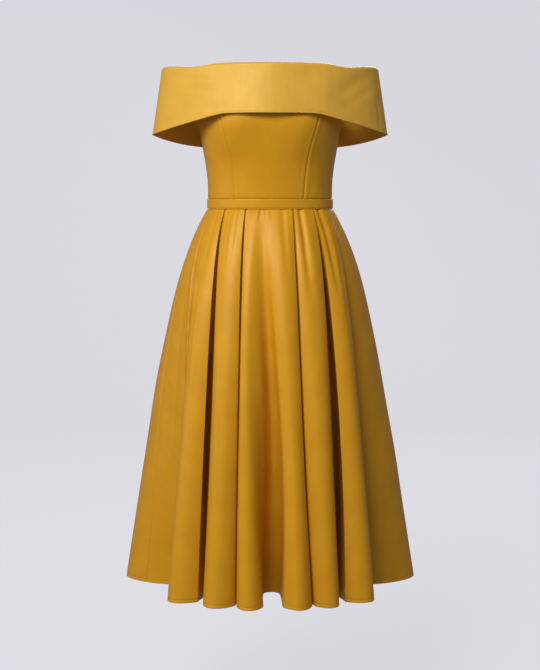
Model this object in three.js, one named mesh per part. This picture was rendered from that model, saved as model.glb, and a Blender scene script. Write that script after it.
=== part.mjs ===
// An off-the-shoulder party dress in heavy satin: a strapless bodice with a fold-over collar band round the
// shoulders, a narrow waistband and a midi skirt whose deep pleats open into tubular folds.
// Millimetres, +Z up. The origin is the middle of the waist, the front faces -Y, and +X is the wearer's left.
import * as THREE from 'three';

// Cloth and seams
const CLOTH = 1.3; // skirt wall
const BODICE_CLOTH = 1.5; // satin with its interlining
const COLLAR_CLOTH = 1.6; // two layers of satin, pressed
const BAND_CLOTH = 1.9; // waistband, folded double
const SEAM = 0.3; // gap between two pieces that are sewn together

// Waistband
const BAND_HEIGHT = 18.6;
const BAND = { half: 122.4, front: 94.5, back: 88.5, square: 2.2 };

// Bodice sections, from the waist up: half width, front and back depth from the middle, and squareness
const BODICE = [
  { z: 9.6, half: 120.3, front: 92.3, back: 86.3, square: 2.2 },
  { z: 41, half: 120.6, front: 95, back: 87, square: 2.2 },
  { z: 72, half: 124, front: 100, back: 89, square: 2.2 },
  { z: 108, half: 130, front: 108, back: 93, square: 2.3 },
  { z: 155, half: 138, front: 116, back: 99, square: 2.3 },
  { z: 200, half: 142, front: 116, back: 101, square: 2.35 },
  { z: 260, half: 150, front: 111.7, back: 100.9, square: 2.25 },
];
const CUP = { x: 72, z: 150, rise: 9, wide: 36, high: 42 }; // fullness that the princess seams give each cup
const BODICE_TOP = 259.35; // top edge, sewn in under the collar's fold
const UNDERARM = { z: 185, start: 100 }; // height of the top edge at the side, and where its drop starts
const TUCK = { start: 84, drop: 20 }; // where the top edge leaves the collar's fold, and its step down there

// Front princess seams: how far each is from the centre front, from the waist up
const PRINCESS = [
  { z: 9.6, right: 68, left: 64 },
  { z: 49, right: 69, left: 67 },
  { z: 80, right: 73, left: 71 },
  { z: 100, right: 79, left: 75 },
  { z: 165, right: 94, left: 92 },
  { z: 200, right: 96, left: 94 },
  { z: 259, right: 92, left: 92 },
];

// Collar band: the ring at its fold and the ring at the lower edge of its fall
const COLLAR_FOLD = { half: 209.5, front: 117.2, back: 106.2, square: 1.75 };
const COLLAR_EDGE = { half: 228, front: 131, back: 112, square: 1.7 };
const COLLAR = { top: 262, dip: 5.5, dipAt: 150, dipWide: 34, roll: 6, facing: 17 };
const COLLAR_FRONT_EDGE = { z: 168, level: 90, tip: 133, ease: 9 }; // level, then down to the tips
const COLLAR_BACK_EDGE = { z: 110, tip: 133, power: 4 };

// Skirt
const SKIRT_TOP = -BAND_HEIGHT / 2 - SEAM;
const HEM = -740;
const WAIST_RING = { half: 122, front: 93.7, back: 87.7, square: 2.2 };
const HEM_RING = { half: 288.5, front: 246, back: 240, square: 2 };
const FLARE = { straight: 0.7, spring: 6.5 }; // share of the flare that is a cone, and the hip's spring
const STEADY = 0.2; // share of each pleat's swing from the waist to the hem that is steady
const ROUND = 0.85; // depth of a fold's rounded nose, as a share of its half width
const KEEL = 1.5; // power that draws the side folds' noses to a keel

// What most of the skirt's pleats share. quick is how soon the pleat's line swings from its angle at the
// waist to its angle at the hem, and bow how far it strays half way. grow is the power that the pleat's depth
// grows with. floor is the share of the slot's width that its floor has, openRight and openLeft lean one of
// its walls outwards at the hem, and round is the nose of the fold before it: 1 is a tube and 0 a keel.
const PLEAT = { quick: 5, bow: 0, grow: 0.55, floor: 1, openRight: 0, openLeft: 0, round: 1 };
const HIP_PLEAT = { ...PLEAT, grow: 1.6, midGap: 8, hemGap: 8 };
const OPEN_PLEAT = { ...PLEAT, grow: 1.2, floor: 0.9, openRight: 1, openLeft: 1.4 };

// The valleys between the skirt's folds, all the way round. waist and hem are angles in degrees from the
// centre front, towards the wearer's left. depth is the floor's depth at the hem, and midGap and hemGap the
// slot's width.
const VALLEYS = [
  { ...HIP_PLEAT, waist: -71, hem: -52.5, depth: 108, grow: 1.9, openRight: 18, round: 0 },
  { ...PLEAT, waist: -50.4, hem: -34.6, bow: -1, depth: 104, midGap: 8, hemGap: 10 },
  { ...PLEAT, waist: -27.6, hem: -16.5, bow: -0.2, depth: 96, midGap: 3.6, hemGap: 4 },
  { ...OPEN_PLEAT, waist: -4, hem: 1.4, depth: 132, midGap: 28, hemGap: 26 },
  { ...PLEAT, waist: 26, hem: 20.9, bow: -2, quick: 14, depth: 98, midGap: 4.2, hemGap: 4 },
  { ...PLEAT, waist: 48.2, hem: 34.6, bow: -0.3, depth: 108, midGap: 10, hemGap: 12 },
  { ...HIP_PLEAT, waist: 70, hem: 53.3, depth: 108, grow: 1.1, openLeft: 17 },
  { ...HIP_PLEAT, waist: 111, hem: 129, depth: 100, openRight: 18, round: 0 },
  { ...PLEAT, waist: 130, hem: 147, depth: 98, midGap: 8, hemGap: 6 },
  { ...PLEAT, waist: 155, hem: 165.5, bow: 1, depth: 92, midGap: 5, hemGap: 4 },
  { ...PLEAT, waist: 205, hem: 196, bow: -1, depth: 92, midGap: 5, hemGap: 4 },
  { ...PLEAT, waist: 230, hem: 212, depth: 98, midGap: 8, hemGap: 6 },
  { ...HIP_PLEAT, waist: 249, hem: 231, depth: 100, openLeft: 18 },
];
const VALLEY_START = 0.4; // depth of every pleat where it goes into the waist seam
const SLOT_START = 2.6; // width of every slot there

// Seams of the skirt. fold is the valley that the seam's fold lies before, and waist and hem are where the
// seam runs on that fold, from -1 at the valley before the fold to 1 at the one after.
const SKIRT_SEAMS = {
  right: { fold: 0, waist: 0.3, hem: 0.62 },
  left: { fold: 7, waist: 0, hem: 0.2 },
  back: { fold: 10, waist: 0, hem: 0 },
};

// Concealed zip in the centre back, on the inside of the cloth
const ZIP = { top: 236, bottom: -200, tape: 12, thick: 0.8, clear: 0.45 };
const COIL = { half: 2, high: 2.4, slope: 0.7 };

// How finely the surfaces are divided
const SKIRT_ROWS = 12;
const ROW_BIAS = 1.7; // rows lie closer together near the waist
const NOSE = [-1, -0.87, -0.5, 0, 0.5, 0.87, 1]; // places of the columns on each fold
const SEAM_FOLD_STEPS = 8; // steps across a fold that has a seam
const CORNER = { least: 0.1, most: 1.4 }; // the wall is thicker across a sharp bend, up to this many times
const BODICE_ROWS = 9;
const COLLAR_STATIONS = 28;
const FALL_ROWS = 5;

const SATIN = { color: 0xc9922b, roughness: 0.42, metalness: 0 };
const TAPE = { color: 0xb07c22, roughness: 0.7, metalness: 0 };

const radians = THREE.MathUtils.degToRad;
const degrees = THREE.MathUtils.radToDeg;
const mix = THREE.MathUtils.lerp;
const smooth = (x) => THREE.MathUtils.smoothstep(x, 0, 1);
const bell = (x) => Math.exp(-x * x);

// A value of one column of a table of sections, at height z, on a smooth curve through its rows
function column(table, key, z) {
  let k = 0;
  while (k < table.length - 2 && z > table[k + 1].z) k += 1;
  const before = table[Math.max(k - 1, 0)];
  const low = table[k];
  const high = table[k + 1];
  const after = table[Math.min(k + 2, table.length - 1)];
  const step = high.z - low.z;
  const t = THREE.MathUtils.clamp((z - low.z) / step, 0, 1);
  const slopeLow = ((high[key] - before[key]) / (high.z - before.z)) * step;
  const slopeHigh = ((after[key] - low[key]) / (after.z - low.z)) * step;
  const t2 = t * t;
  const t3 = t2 * t;
  const start = (2 * t3 - 3 * t2 + 1) * low[key] + (t3 - 2 * t2 + t) * slopeLow;
  return start + (3 * t2 - 2 * t3) * high[key] + (t3 - t2) * slopeHigh;
}

// A point on a rounded ring at turn psi, in degrees from the centre front, inset from the ring's outline
function ringPoint(ring, psi, inset = 0) {
  const side = Math.sin(radians(psi));
  const ahead = Math.cos(radians(psi)) >= 0;
  const depth = (ahead ? ring.front : ring.back) - inset;
  const reach = depth * Math.pow(Math.max(1 - Math.pow(Math.abs(side), ring.square), 0), 1 / ring.square);
  return { x: (ring.half - inset) * side, y: ahead ? -reach : reach };
}

// The distance from the axis to the same kind of ring, at polar angle theta in degrees from the centre front
function ringRadius(ring, theta) {
  const side = Math.abs(Math.sin(radians(theta)));
  const along = Math.cos(radians(theta));
  const depth = along >= 0 ? ring.front : ring.back;
  const sum = Math.pow(side / ring.half, ring.square) + Math.pow(Math.abs(along) / depth, ring.square);
  return Math.pow(sum, -1 / ring.square);
}

// A ring part of the way from one ring to another
function ringBetween(from, to, t) {
  return {
    half: mix(from.half, to.half, t),
    front: mix(from.front, to.front, t),
    back: mix(from.back, to.back, t),
    square: mix(from.square, to.square, t),
  };
}

// A closed wall between two grids of points that have the same columns and rows
function wall(outer, inner) {
  const columns = outer.length;
  const rows = outer[0].length;
  const position = [];
  for (const grid of [outer, inner]) {
    for (const line of grid) {
      for (const p of line) position.push(p[0], p[1], p[2]);
    }
  }
  const outside = (i, j) => i * rows + j;
  const inside = (i, j) => columns * rows + i * rows + j;
  const index = [];
  const quad = (a, b, c, d) => index.push(a, b, c, a, c, d);
  for (let i = 0; i < columns - 1; i += 1) {
    for (let j = 0; j < rows - 1; j += 1) {
      quad(outside(i, j), outside(i + 1, j), outside(i + 1, j + 1), outside(i, j + 1));
      quad(inside(i, j), inside(i, j + 1), inside(i + 1, j + 1), inside(i + 1, j));
    }
    quad(outside(i, 0), inside(i, 0), inside(i + 1, 0), outside(i + 1, 0));
    const top = rows - 1;
    quad(outside(i + 1, top), inside(i + 1, top), inside(i, top), outside(i, top));
  }
  for (let j = 0; j < rows - 1; j += 1) {
    quad(outside(0, j + 1), inside(0, j + 1), inside(0, j), outside(0, j));
    const end = columns - 1;
    quad(outside(end, j), inside(end, j), inside(end, j + 1), outside(end, j + 1));
  }
  if (signedVolume(position, index) < 0) index.reverse();
  const geometry = new THREE.BufferGeometry();
  geometry.setAttribute('position', new THREE.Float32BufferAttribute(position, 3));
  geometry.setIndex(index);
  geometry.computeVertexNormals();
  return geometry;
}

function signedVolume(position, index) {
  const corner = (k) => new THREE.Vector3().fromArray(position, 3 * index[k]);
  let sum = 0;
  for (let k = 0; k < index.length; k += 3) sum += corner(k).dot(corner(k + 1).cross(corner(k + 2)));
  return sum / 6;
}

function named(name, geometry, finish = SATIN) {
  const mesh = new THREE.Mesh(geometry, new THREE.MeshStandardMaterial(finish));
  mesh.name = name;
  return mesh;
}

// A list of evenly spaced values, both ends included
const spaced = (from, to, steps) => Array.from({ length: steps + 1 }, (_, k) => mix(from, to, k / steps));

// Bodice

// A point of the bodice at turn psi and height z, inset from its outer face. The cups fill it out in front.
function bodicePoint(psi, z, inset) {
  const ring = { z };
  for (const key of ['half', 'front', 'back', 'square']) ring[key] = column(BODICE, key, z);
  const p = ringPoint(ring, psi, inset);
  if (p.y < 0) {
    const away = (Math.abs(p.x) - CUP.x) / CUP.wide;
    p.y -= CUP.rise * bell(away) * bell((z - CUP.z) / CUP.high);
  }
  return [p.x, p.y, z];
}

// The height of the bodice's top edge where it passes turn psi
function bodiceTop(psi) {
  const top = BODICE[BODICE.length - 1].half;
  const out = Math.abs(top * Math.sin(radians(psi)));
  const step = TUCK.drop * smooth((out - TUCK.start) / (UNDERARM.start - TUCK.start));
  const toSide = smooth((out - UNDERARM.start) / (top - UNDERARM.start));
  return BODICE_TOP - step - (BODICE_TOP - TUCK.drop - UNDERARM.z) * toSide;
}

// The turn of the princess seam on the side named, at height z
function princessTurn(side, z) {
  const turn = degrees(Math.asin(column(PRINCESS, side, z) / column(BODICE, 'half', z)));
  return side === 'left' ? turn : -turn;
}

// A panel of the bodice from one seam to the next. A seam is a turn at each height, and leaves half its gap.
function bodicePanel(fromSeam, toSeam, steps) {
  const grids = [0, BODICE_CLOTH].map((inset) =>
    spaced(0, 1, steps).map((u) => {
      const topTurn = mix(fromSeam(BODICE_TOP), toSeam(BODICE_TOP), u);
      const top = bodiceTop(topTurn);
      return spaced(BODICE[0].z, top, BODICE_ROWS).map((z) => {
        const halfGap = degrees(SEAM / 2 / column(BODICE, 'half', z));
        const from = fromSeam(z) + gapTurn(fromSeam(z), halfGap);
        const to = toSeam(z) - gapTurn(toSeam(z), halfGap);
        return bodicePoint(mix(from, to, u), z, inset);
      });
    }),
  );
  return wall(grids[0], grids[1]);
}

// Half a seam's gap as a turn. Away from the centre a turn moves less sideways, so the gap takes more of it.
const gapTurn = (psi, halfGap) => halfGap / Math.max(Math.abs(Math.cos(radians(psi))), 0.25);

function makeBodice() {
  const group = new THREE.Group();
  const princessLeft = (z) => princessTurn('left', z);
  const princessRight = (z) => princessTurn('right', z);
  group.add(named('bodice_front', bodicePanel(princessRight, princessLeft, 14)));
  group.add(named('bodice_side_left', bodicePanel(princessLeft, () => 90, 7)));
  group.add(named('bodice_side_right', bodicePanel(() => -90, princessRight, 7)));
  group.add(named('bodice_back_left', bodicePanel(() => 90, () => 180, 12)));
  group.add(named('bodice_back_right', bodicePanel(() => 180, () => 270, 12)));
  return group;
}

// Waistband

function bandPanel(from, to, steps) {
  const low = -BAND_HEIGHT / 2;
  const halfGap = degrees(SEAM / 2 / BAND.back);
  const grids = [0, BAND_CLOTH].map((inset) =>
    spaced(from + halfGap, to - halfGap, steps).map((psi) =>
      spaced(low, -low, 2).map((z) => {
        const p = ringPoint(BAND, psi, inset);
        return [p.x, p.y, z];
      }),
    ),
  );
  return wall(grids[0], grids[1]);
}

function makeWaistband() {
  const group = new THREE.Group();
  group.add(named('waistband_front', bandPanel(-90, 90, 36)));
  group.add(named('waistband_back_left', bandPanel(90, 180, 18)));
  group.add(named('waistband_back_right', bandPanel(180, 270, 18)));
  return group;
}

// Collar

// The heights of the collar's fold and of its fall's lower edge, at a distance x from the middle
const foldHeight = (x) => COLLAR.top - COLLAR.dip * bell((Math.abs(x) - COLLAR.dipAt) / COLLAR.dipWide);

function frontEdgeHeight(x) {
  const edge = COLLAR_FRONT_EDGE;
  const slope = (edge.z - edge.tip) / (COLLAR_EDGE.half - edge.level);
  const past = Math.abs(x) - edge.level;
  const eased = (past + Math.hypot(past, edge.ease)) / 2; // rounds the bend where the edge turns down
  return edge.z - slope * eased;
}

function backEdgeHeight(x) {
  const edge = COLLAR_BACK_EDGE;
  return edge.z + (edge.tip - edge.z) * Math.pow(Math.abs(x) / COLLAR_EDGE.half, edge.power);
}

// The collar's cross-section at turn psi, from the fall's lower edge up over the fold and down the facing.
// depth 0 gives the face that shows, and COLLAR_CLOTH the face inside the fold.
function collarSection(psi, depth) {
  const ahead = Math.cos(radians(psi)) >= 0;
  const shift = (ahead ? -1 : 1) * (SEAM / 2);
  const at = (ring, inset, z) => {
    const p = ringPoint(ring, psi, inset);
    return [p.x, p.y + shift, z];
  };
  const fold = foldHeight(ringPoint(COLLAR_FOLD, psi).x);
  const edgeX = ringPoint(COLLAR_EDGE, psi).x;
  const edge = ahead ? frontEdgeHeight(edgeX) : backEdgeHeight(edgeX);
  const shoulder = fold - COLLAR.roll;
  const fall = spaced(0, 1, FALL_ROWS).map((t) =>
    at(ringBetween(COLLAR_EDGE, COLLAR_FOLD, t), depth, mix(edge, shoulder, t)),
  );
  const radius = COLLAR.roll - depth;
  const roll = [45, 90, 135].map((a) =>
    at(COLLAR_FOLD, COLLAR.roll - radius * Math.cos(radians(a)), shoulder + radius * Math.sin(radians(a))),
  );
  const facing = [shoulder, fold - COLLAR.facing].map((z) => at(COLLAR_FOLD, COLLAR.roll + radius, z));
  return [...fall, ...roll, ...facing];
}

function makeCollar() {
  const group = new THREE.Group();
  const half = (from, to) => {
    const grids = [0, COLLAR_CLOTH].map((depth) =>
      spaced(from, to, COLLAR_STATIONS).map((psi) => collarSection(psi, depth)),
    );
    return wall(grids[0], grids[1]);
  };
  const short = 0.01; // keeps each end station on its own half of the ring
  group.add(named('collar_front', half(-90 + short, 90 - short)));
  group.add(named('collar_back', half(90 + short, 270 - short)));
  return group;
}

// Skirt

const heightOf = (w) => mix(SKIRT_TOP, HEM, w);

// How far the skirt has flared at share w of its length
function flareAt(w) {
  return FLARE.straight * w + (1 - FLARE.straight) * (1 - Math.exp(-FLARE.spring * w));
}

const skirtRing = (w) => ringBetween(WAIST_RING, HEM_RING, flareAt(w));

// How far a pleat has swung from its place at the waist to its place at the hem, at share w of the length
function swingAt(w, quick) {
  return STEADY * w + ((1 - STEADY) * (1 - Math.exp(-quick * w))) / (1 - Math.exp(-quick));
}

const valleyDepth = (valley, w) => VALLEY_START + (valley.depth - VALLEY_START) * Math.pow(w, valley.grow);

// The width of a valley's slot: nothing at the waist, midGap half way down and hemGap at the hem
function slotWidth(valley, w) {
  return SLOT_START * (1 - w) + 4 * w * (1 - w) * valley.midGap + w * (2 * w - 1) * valley.hemGap;
}

// The angles of a valley's two walls at its mouth and at its floor
function valleyWalls(valley, w) {
  const middle = mix(valley.waist, valley.hem, swingAt(w, valley.quick)) + 4 * w * (1 - w) * valley.bow;
  const radius = ringRadius(skirtRing(w), middle);
  const half = slotWidth(valley, w) / 2;
  const mouth = degrees(half / radius);
  const floor = degrees((half * mix(1, valley.floor, w)) / (radius - valleyDepth(valley, w)));
  return {
    right: middle - mouth - valley.openRight * w,
    left: middle + mouth + valley.openLeft * w,
    floorRight: middle - floor,
    floorLeft: middle + floor,
  };
}

// The place of a fold's nose at q, from -1 at the valley before it to 1 at the valley after it
function nosePlace(before, after, q, w) {
  const from = valleyWalls(before, w).left;
  const to = turnAfter(valleyWalls(after, w).right, from);
  const angle = mix(from, to, (q + 1) / 2);
  const halfWidth = (radians(to - from) / 2) * ringRadius(skirtRing(w), angle);
  const beside = valleyDepth(q < 0 ? before : after, w);
  const drop = Math.min(ROUND * halfWidth * Math.pow(w, 0.6), ROUND * beside);
  const shape = mix(Math.pow(Math.abs(q), KEEL), 1 - Math.sqrt(1 - q * q), after.round);
  return { angle, depth: drop * shape };
}

const turnAfter = (angle, previous) => (angle < previous ? angle + 360 : angle);

// The place of a valley's floor: its right corner, its middle, which is rounded deeper, or its left corner
function floorPlace(valley, part, w) {
  const walls = valleyWalls(valley, w);
  const rounding = Math.min(slotWidth(valley, w) / 2, valleyDepth(valley, w) / 2);
  const share = (part + 1) / 2;
  return {
    angle: mix(walls.floorRight, walls.floorLeft, share),
    depth: valleyDepth(valley, w) - rounding * Math.abs(part),
  };
}

// The columns of a fold that a seam crosses, spaced evenly by turn on either side of the seam
function seamFoldColumns(before, after, name, line) {
  const seamAt = (w) => mix(line.waist, line.hem, swingAt(w, before.quick));
  const turn = (w) => Math.acos(-seamAt(w));
  const seamStep = Math.round((SEAM_FOLD_STEPS * turn(1)) / Math.PI);
  return Array.from({ length: SEAM_FOLD_STEPS + 1 }, (_, k) => {
    const share = k <= seamStep ? k / seamStep : (k - seamStep) / (SEAM_FOLD_STEPS - seamStep);
    const q = (w) => -Math.cos(k <= seamStep ? share * turn(w) : mix(turn(w), Math.PI, share));
    return { seam: k === seamStep ? name : null, place: (w) => nosePlace(before, after, q(w), w) };
  });
}

// The skirt's columns all the way round. Each has a place at share w of the length, and a seam's name if one
// runs there.
function skirtColumns() {
  return VALLEYS.flatMap((valley, k) => {
    const before = VALLEYS[(k + VALLEYS.length - 1) % VALLEYS.length];
    const [seam, line] = Object.entries(SKIRT_SEAMS).find(([, { fold }]) => fold === k) ?? [];
    const fold = line
      ? seamFoldColumns(before, valley, seam, line)
      : NOSE.map((q) => ({ place: (w) => nosePlace(before, valley, q, w) }));
    return [...fold, ...[-1, 0, 1].map((part) => ({ place: (w) => floorPlace(valley, part, w) }))];
  });
}

// The outer and inner points of all columns at share w, the inner ones moved in along the row's own normals
function skirtRow(columns, w) {
  const ring = skirtRing(w);
  const outer = columns.map(({ place }) => {
    const { angle, depth } = place(w);
    const radius = ringRadius(ring, angle) - depth;
    return new THREE.Vector2(radius * Math.sin(radians(angle)), -radius * Math.cos(radians(angle)));
  });
  const count = outer.length;
  const inner = outer.map((p, k) => {
    const back = p.clone().sub(outer[(k + count - 1) % count]).normalize();
    const ahead = outer[(k + 1) % count].clone().sub(p).normalize();
    const tangent = back.clone().add(ahead).normalize();
    const reach = CLOTH * Math.min(1 / Math.max(tangent.dot(ahead), CORNER.least), CORNER.most);
    return new THREE.Vector2(p.x - tangent.y * reach, p.y + tangent.x * reach);
  });
  return { outer, inner };
}

// The points of one panel, from the seam named from to the seam named to, with half a seam's gap at each end
function panelPoints(columns, row, from, to, z) {
  const first = columns.findIndex((c) => c.seam === from);
  const last = columns.findIndex((c) => c.seam === to);
  const steps = (last - first + columns.length) % columns.length;
  return [row.outer, row.inner].map((points) => {
    const line = Array.from({ length: steps + 1 }, (_, k) => points[(first + k) % columns.length].clone());
    const shorten = (end, next) => end.add(next.clone().sub(end).setLength(SEAM / 2));
    shorten(line[0], line[1]);
    shorten(line[steps], line[steps - 1]);
    return line.map((p) => [p.x, p.y, z]);
  });
}

// The rows of the skirt as shares of its length
const skirtShares = () => spaced(0, 1, SKIRT_ROWS).map((s) => Math.pow(s, ROW_BIAS));

function skirtPanel(from, to) {
  const columns = skirtColumns();
  const rows = skirtShares().map((w) => panelPoints(columns, skirtRow(columns, w), from, to, heightOf(w)));
  const grid = (face) => rows[0][face].map((_, i) => rows.map((row) => row[face][i]));
  return wall(grid(0), grid(1));
}

function makeSkirt() {
  const group = new THREE.Group();
  group.add(named('skirt_front', skirtPanel('right', 'left')));
  group.add(named('skirt_back_left', skirtPanel('left', 'back')));
  group.add(named('skirt_back_right', skirtPanel('back', 'right')));
  return group;
}

// Zip

// The inner face of the skirt beside the centre back seam, at a distance x from it
function skirtInside(x, w) {
  const columns = skirtColumns();
  const { inner } = skirtRow(columns, w);
  const seam = columns.findIndex((c) => c.seam === 'back');
  const near = inner[seam];
  const far = inner[seam + (x < 0 ? 1 : -1)];
  return mix(near.y, far.y, (x - near.x) / (far.x - near.x));
}

const turnOf = (x, half) => 180 - degrees(Math.asin(x / half));

// The heights of the bodice's and the skirt's rows that the zip passes, and the cloth's inner face there
function zipLevels() {
  const bodiceInside = (x, z) => bodicePoint(turnOf(x, column(BODICE, 'half', z)), z, BODICE_CLOTH)[1];
  const bodice = spaced(BODICE[0].z, BODICE_TOP, BODICE_ROWS).filter((z) => z < ZIP.top);
  const skirt = skirtShares().filter((w) => heightOf(w) > ZIP.bottom);
  return [
    ...bodice.reverse().map((z) => ({ z, inside: (x) => bodiceInside(x, z) })),
    ...skirt.map((w) => ({ z: heightOf(w), inside: (x) => skirtInside(x, w) })),
  ];
}

// The zip's tape lies on the inside of the cloth, and its closed coil stands up along the middle
function makeZip() {
  const foot = COIL.half + COIL.slope;
  const across = [-ZIP.tape, -foot, -COIL.half, COIL.half, foot, ZIP.tape];
  const high = [0, 0, COIL.high, COIL.high, 0, 0];
  const levels = zipLevels();
  const grids = [false, true].map((faceIn) =>
    across.map((x, k) =>
      levels.map(({ z, inside }) => [x, inside(x) - ZIP.clear - (faceIn ? ZIP.thick + high[k] : 0), z]),
    ),
  );
  return named('zip', wall(grids[0], grids[1]), TAPE);
}

const dress = new THREE.Group();
dress.add(makeBodice(), makeWaistband(), makeCollar(), makeSkirt(), makeZip());

export default dress;
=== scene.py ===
# %% [markdown]
# # An off-the-shoulder satin dress
# The real dress is cut from heavy duchess satin: a strapless bodice with princess seams, a collar band that
# folds over and stands round the shoulders, a narrow waistband, and a midi skirt whose deep pleats open
# into tubular folds. It hangs filled out, with nobody in it. Each sewn piece is built as a thin curved
# shell, because satin shows its shape only through light on smooth curves.

import math

import bmesh
import bpy
import numpy as np
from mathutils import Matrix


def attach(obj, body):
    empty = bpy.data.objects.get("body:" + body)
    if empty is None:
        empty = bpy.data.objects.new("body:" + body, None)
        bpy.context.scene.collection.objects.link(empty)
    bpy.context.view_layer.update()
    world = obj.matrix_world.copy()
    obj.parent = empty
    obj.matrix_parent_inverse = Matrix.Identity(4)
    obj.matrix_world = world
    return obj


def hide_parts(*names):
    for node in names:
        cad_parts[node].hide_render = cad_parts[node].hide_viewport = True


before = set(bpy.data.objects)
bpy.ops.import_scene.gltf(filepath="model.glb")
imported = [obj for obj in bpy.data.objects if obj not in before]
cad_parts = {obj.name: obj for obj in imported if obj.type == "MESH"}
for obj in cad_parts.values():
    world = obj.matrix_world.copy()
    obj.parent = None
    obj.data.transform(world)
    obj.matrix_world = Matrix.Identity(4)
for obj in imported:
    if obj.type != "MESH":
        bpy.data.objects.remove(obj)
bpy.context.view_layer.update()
print("CAD nodes:", sorted(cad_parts))

# %% [markdown]
# ## Units
# The dressmaker's sizes are in millimetres, with the middle of the waist at the origin, the front towards
# -Y and the wearer's left towards +X. Blender works in metres, so one number turns one into the other.

# %% Units and small curves
MM = 0.001


def mix(start, end, share):
    return start + (end - start) * share


def smooth(x):
    """0 below 0 and 1 above 1, with an even S between."""
    t = np.clip(x, 0, 1)
    return t * t * (3 - 2 * t)


def bell(x):
    return np.exp(-np.square(x))


def eased(count):
    """Shares from 0 to 1 that lie closest together at both ends, where a seam curls the cloth."""
    return (1 - np.cos(np.linspace(0, math.pi, count))) / 2


def unit(vectors):
    return vectors / np.linalg.norm(vectors, axis=1)[:, None]


def read_line(at, run, line):
    """The points of a line at the distances at, where run is each given point's own distance."""
    return np.stack([np.interp(at, run, values) for values in line.T], axis=1)


def table(headings, *rows):
    """Rows of values, each value under the heading of its column."""
    names = headings.split()
    return [dict(zip(names, row)) for row in rows]


print("1 mm is", MM, "Blender metres")

# %% [markdown]
# ## Camera
# The dress was seen from straight in front, at waist height and a little from above, with a long lens. The
# camera is made first, so that every later step can be looked at in the same view.

# %% Camera
CAMERA_BACK = 2.7
CAMERA_TILT = 5.4289  # degrees down
FOCAL_PIXELS = 1378.4
PICTURE_HEIGHT = 670
SENSOR = 36

bpy.ops.object.select_all(action="DESELECT")
bpy.ops.object.camera_add(location=(0, -CAMERA_BACK, 0), rotation=(math.radians(90 - CAMERA_TILT), 0, 0))
camera = bpy.context.object
camera.name = "camera"
camera.data.sensor_width = SENSOR
camera.data.lens = FOCAL_PIXELS * SENSOR / PICTURE_HEIGHT
bpy.context.scene.camera = camera
print("lens", round(camera.data.lens, 2), "mm")

# %% [markdown]
# ## Colours
# Colours are written as sRGB hex values, and one function turns them to the linear values that a shader
# wants. Where there are two, the finish wanders between them.


# %% Colours
def linear(hex_colour):
    channels = [int(hex_colour[k : k + 2], 16) / 255 for k in (1, 3, 5)]
    turned = [c / 12.92 if c <= 0.04045 else ((c + 0.055) / 1.055) ** 2.4 for c in channels]
    return (*turned, 1)


SATIN = ("#C78A15", "#D5991C")
# painted sheen: the collar's satin colours are lighter and paler for the shine it catches from the lamps
COLLAR_SATIN_PAINTED_SHEEN = ("#CF9E36", "#DDAC42")
SATIN_SHEEN = "#FFDF9A"
SATIN_GLOSS = "#FFE2A8"
THREAD = ("#A87418", "#C08A26")
TAPE = ("#B98426", "#C8943A")
COIL_NYLON = ("#C9A04A", "#B98E3A")
PAPER = ("#5B5A5F", "#5E5D62")
PAPER_GLOW = "#DAD9DF"
SKY = "#E4E3EA"
print("satin", [round(c, 3) for c in linear(SATIN[1])])

# %% [markdown]
# ## One helper for shader nodes
# A material is a small graph. The first helper adds one node with its settings and its links, and gives
# back its output. The short ones after it add the kinds that come up most.


# %% Node helper
def add_node(tree, kind, settings=None, links=None, out=0):
    """Adds a node with its settings and links, and gives back one of its outputs."""
    node = tree.nodes.new("ShaderNode" + kind)
    for key, value in (settings or {}).items():
        if hasattr(node, key):
            setattr(node, key, value)
        else:
            node.inputs[key].default_value = value
    for key, source in (links or {}).items():
        tree.links.new(source, node.inputs[key])
    return node.outputs[out] if node.outputs else None


def new_material(name):
    material = bpy.data.materials.new(name)
    material.use_nodes = True
    material.node_tree.nodes.clear()
    return material, material.node_tree


def noise(tree, place, scale, detail):
    return add_node(tree, "TexNoise", {"Scale": scale, "Detail": detail}, {"Vector": place}, "Fac")


def counted(tree, cloth, wide, long):
    """A place on the cloth, counted in steps of wide across it and of long down it."""
    return add_node(tree, "Mapping", {"Scale": (1 / wide, 1 / long, 1)}, {"Vector": cloth})


def blend(tree, share, colours):
    ends = {"Color1": linear(colours[0]), "Color2": linear(colours[1])}
    return add_node(tree, "MixRGB", ends, {"Fac": share})


def bump(tree, height, strength, distance, under=None):
    links = {"Height": height, "Normal": under} if under else {"Height": height}
    return add_node(tree, "Bump", {"Strength": strength, "Distance": distance}, links)


def surface(tree, settings, links):
    shader = add_node(tree, "BsdfPrincipled", settings, links)
    add_node(tree, "OutputMaterial", {}, {"Surface": shader})


print("node helper ready")

# %% [markdown]
# ## Duchess satin
# Duchess satin is a dense weave whose warp threads float over the weft, side by side down the cloth. That
# gives it a broad soft sheen and a faint streak along the grain. The pattern follows the piece's own UV
# map, which is in metres of cloth. The real floats are about 0.2 mm apart, too fine to show, so they are
# drawn 0.9 mm apart. The collar gets a lighter, paler copy of the satin colours: painted sheen for the pale
# shine that the slanted collar catches from the lamps. Hung cloth is never quite flat: soft dents a few
# centimetres wide are drawn as a bump.

# %% Satin
FLOAT_SPACING = 0.9 * MM
FLOAT_LENGTH = 3.6 * MM
FLOAT_RELIEF = 0.15 * MM
STREAK_SPACING = 5 * MM
STREAK_LENGTH = 90 * MM
STREAK_RELIEF = 0.5 * MM
CLOUD_SIZE = 60 * MM
DENT_WIDE = 26 * MM
DENT_LONG = 60 * MM
DENT_RELIEF = 3 * MM
STREAK_ROUGHNESS = {"From Min": 0.3, "From Max": 0.7, "To Min": 0.38, "To Max": 0.46}


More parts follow.
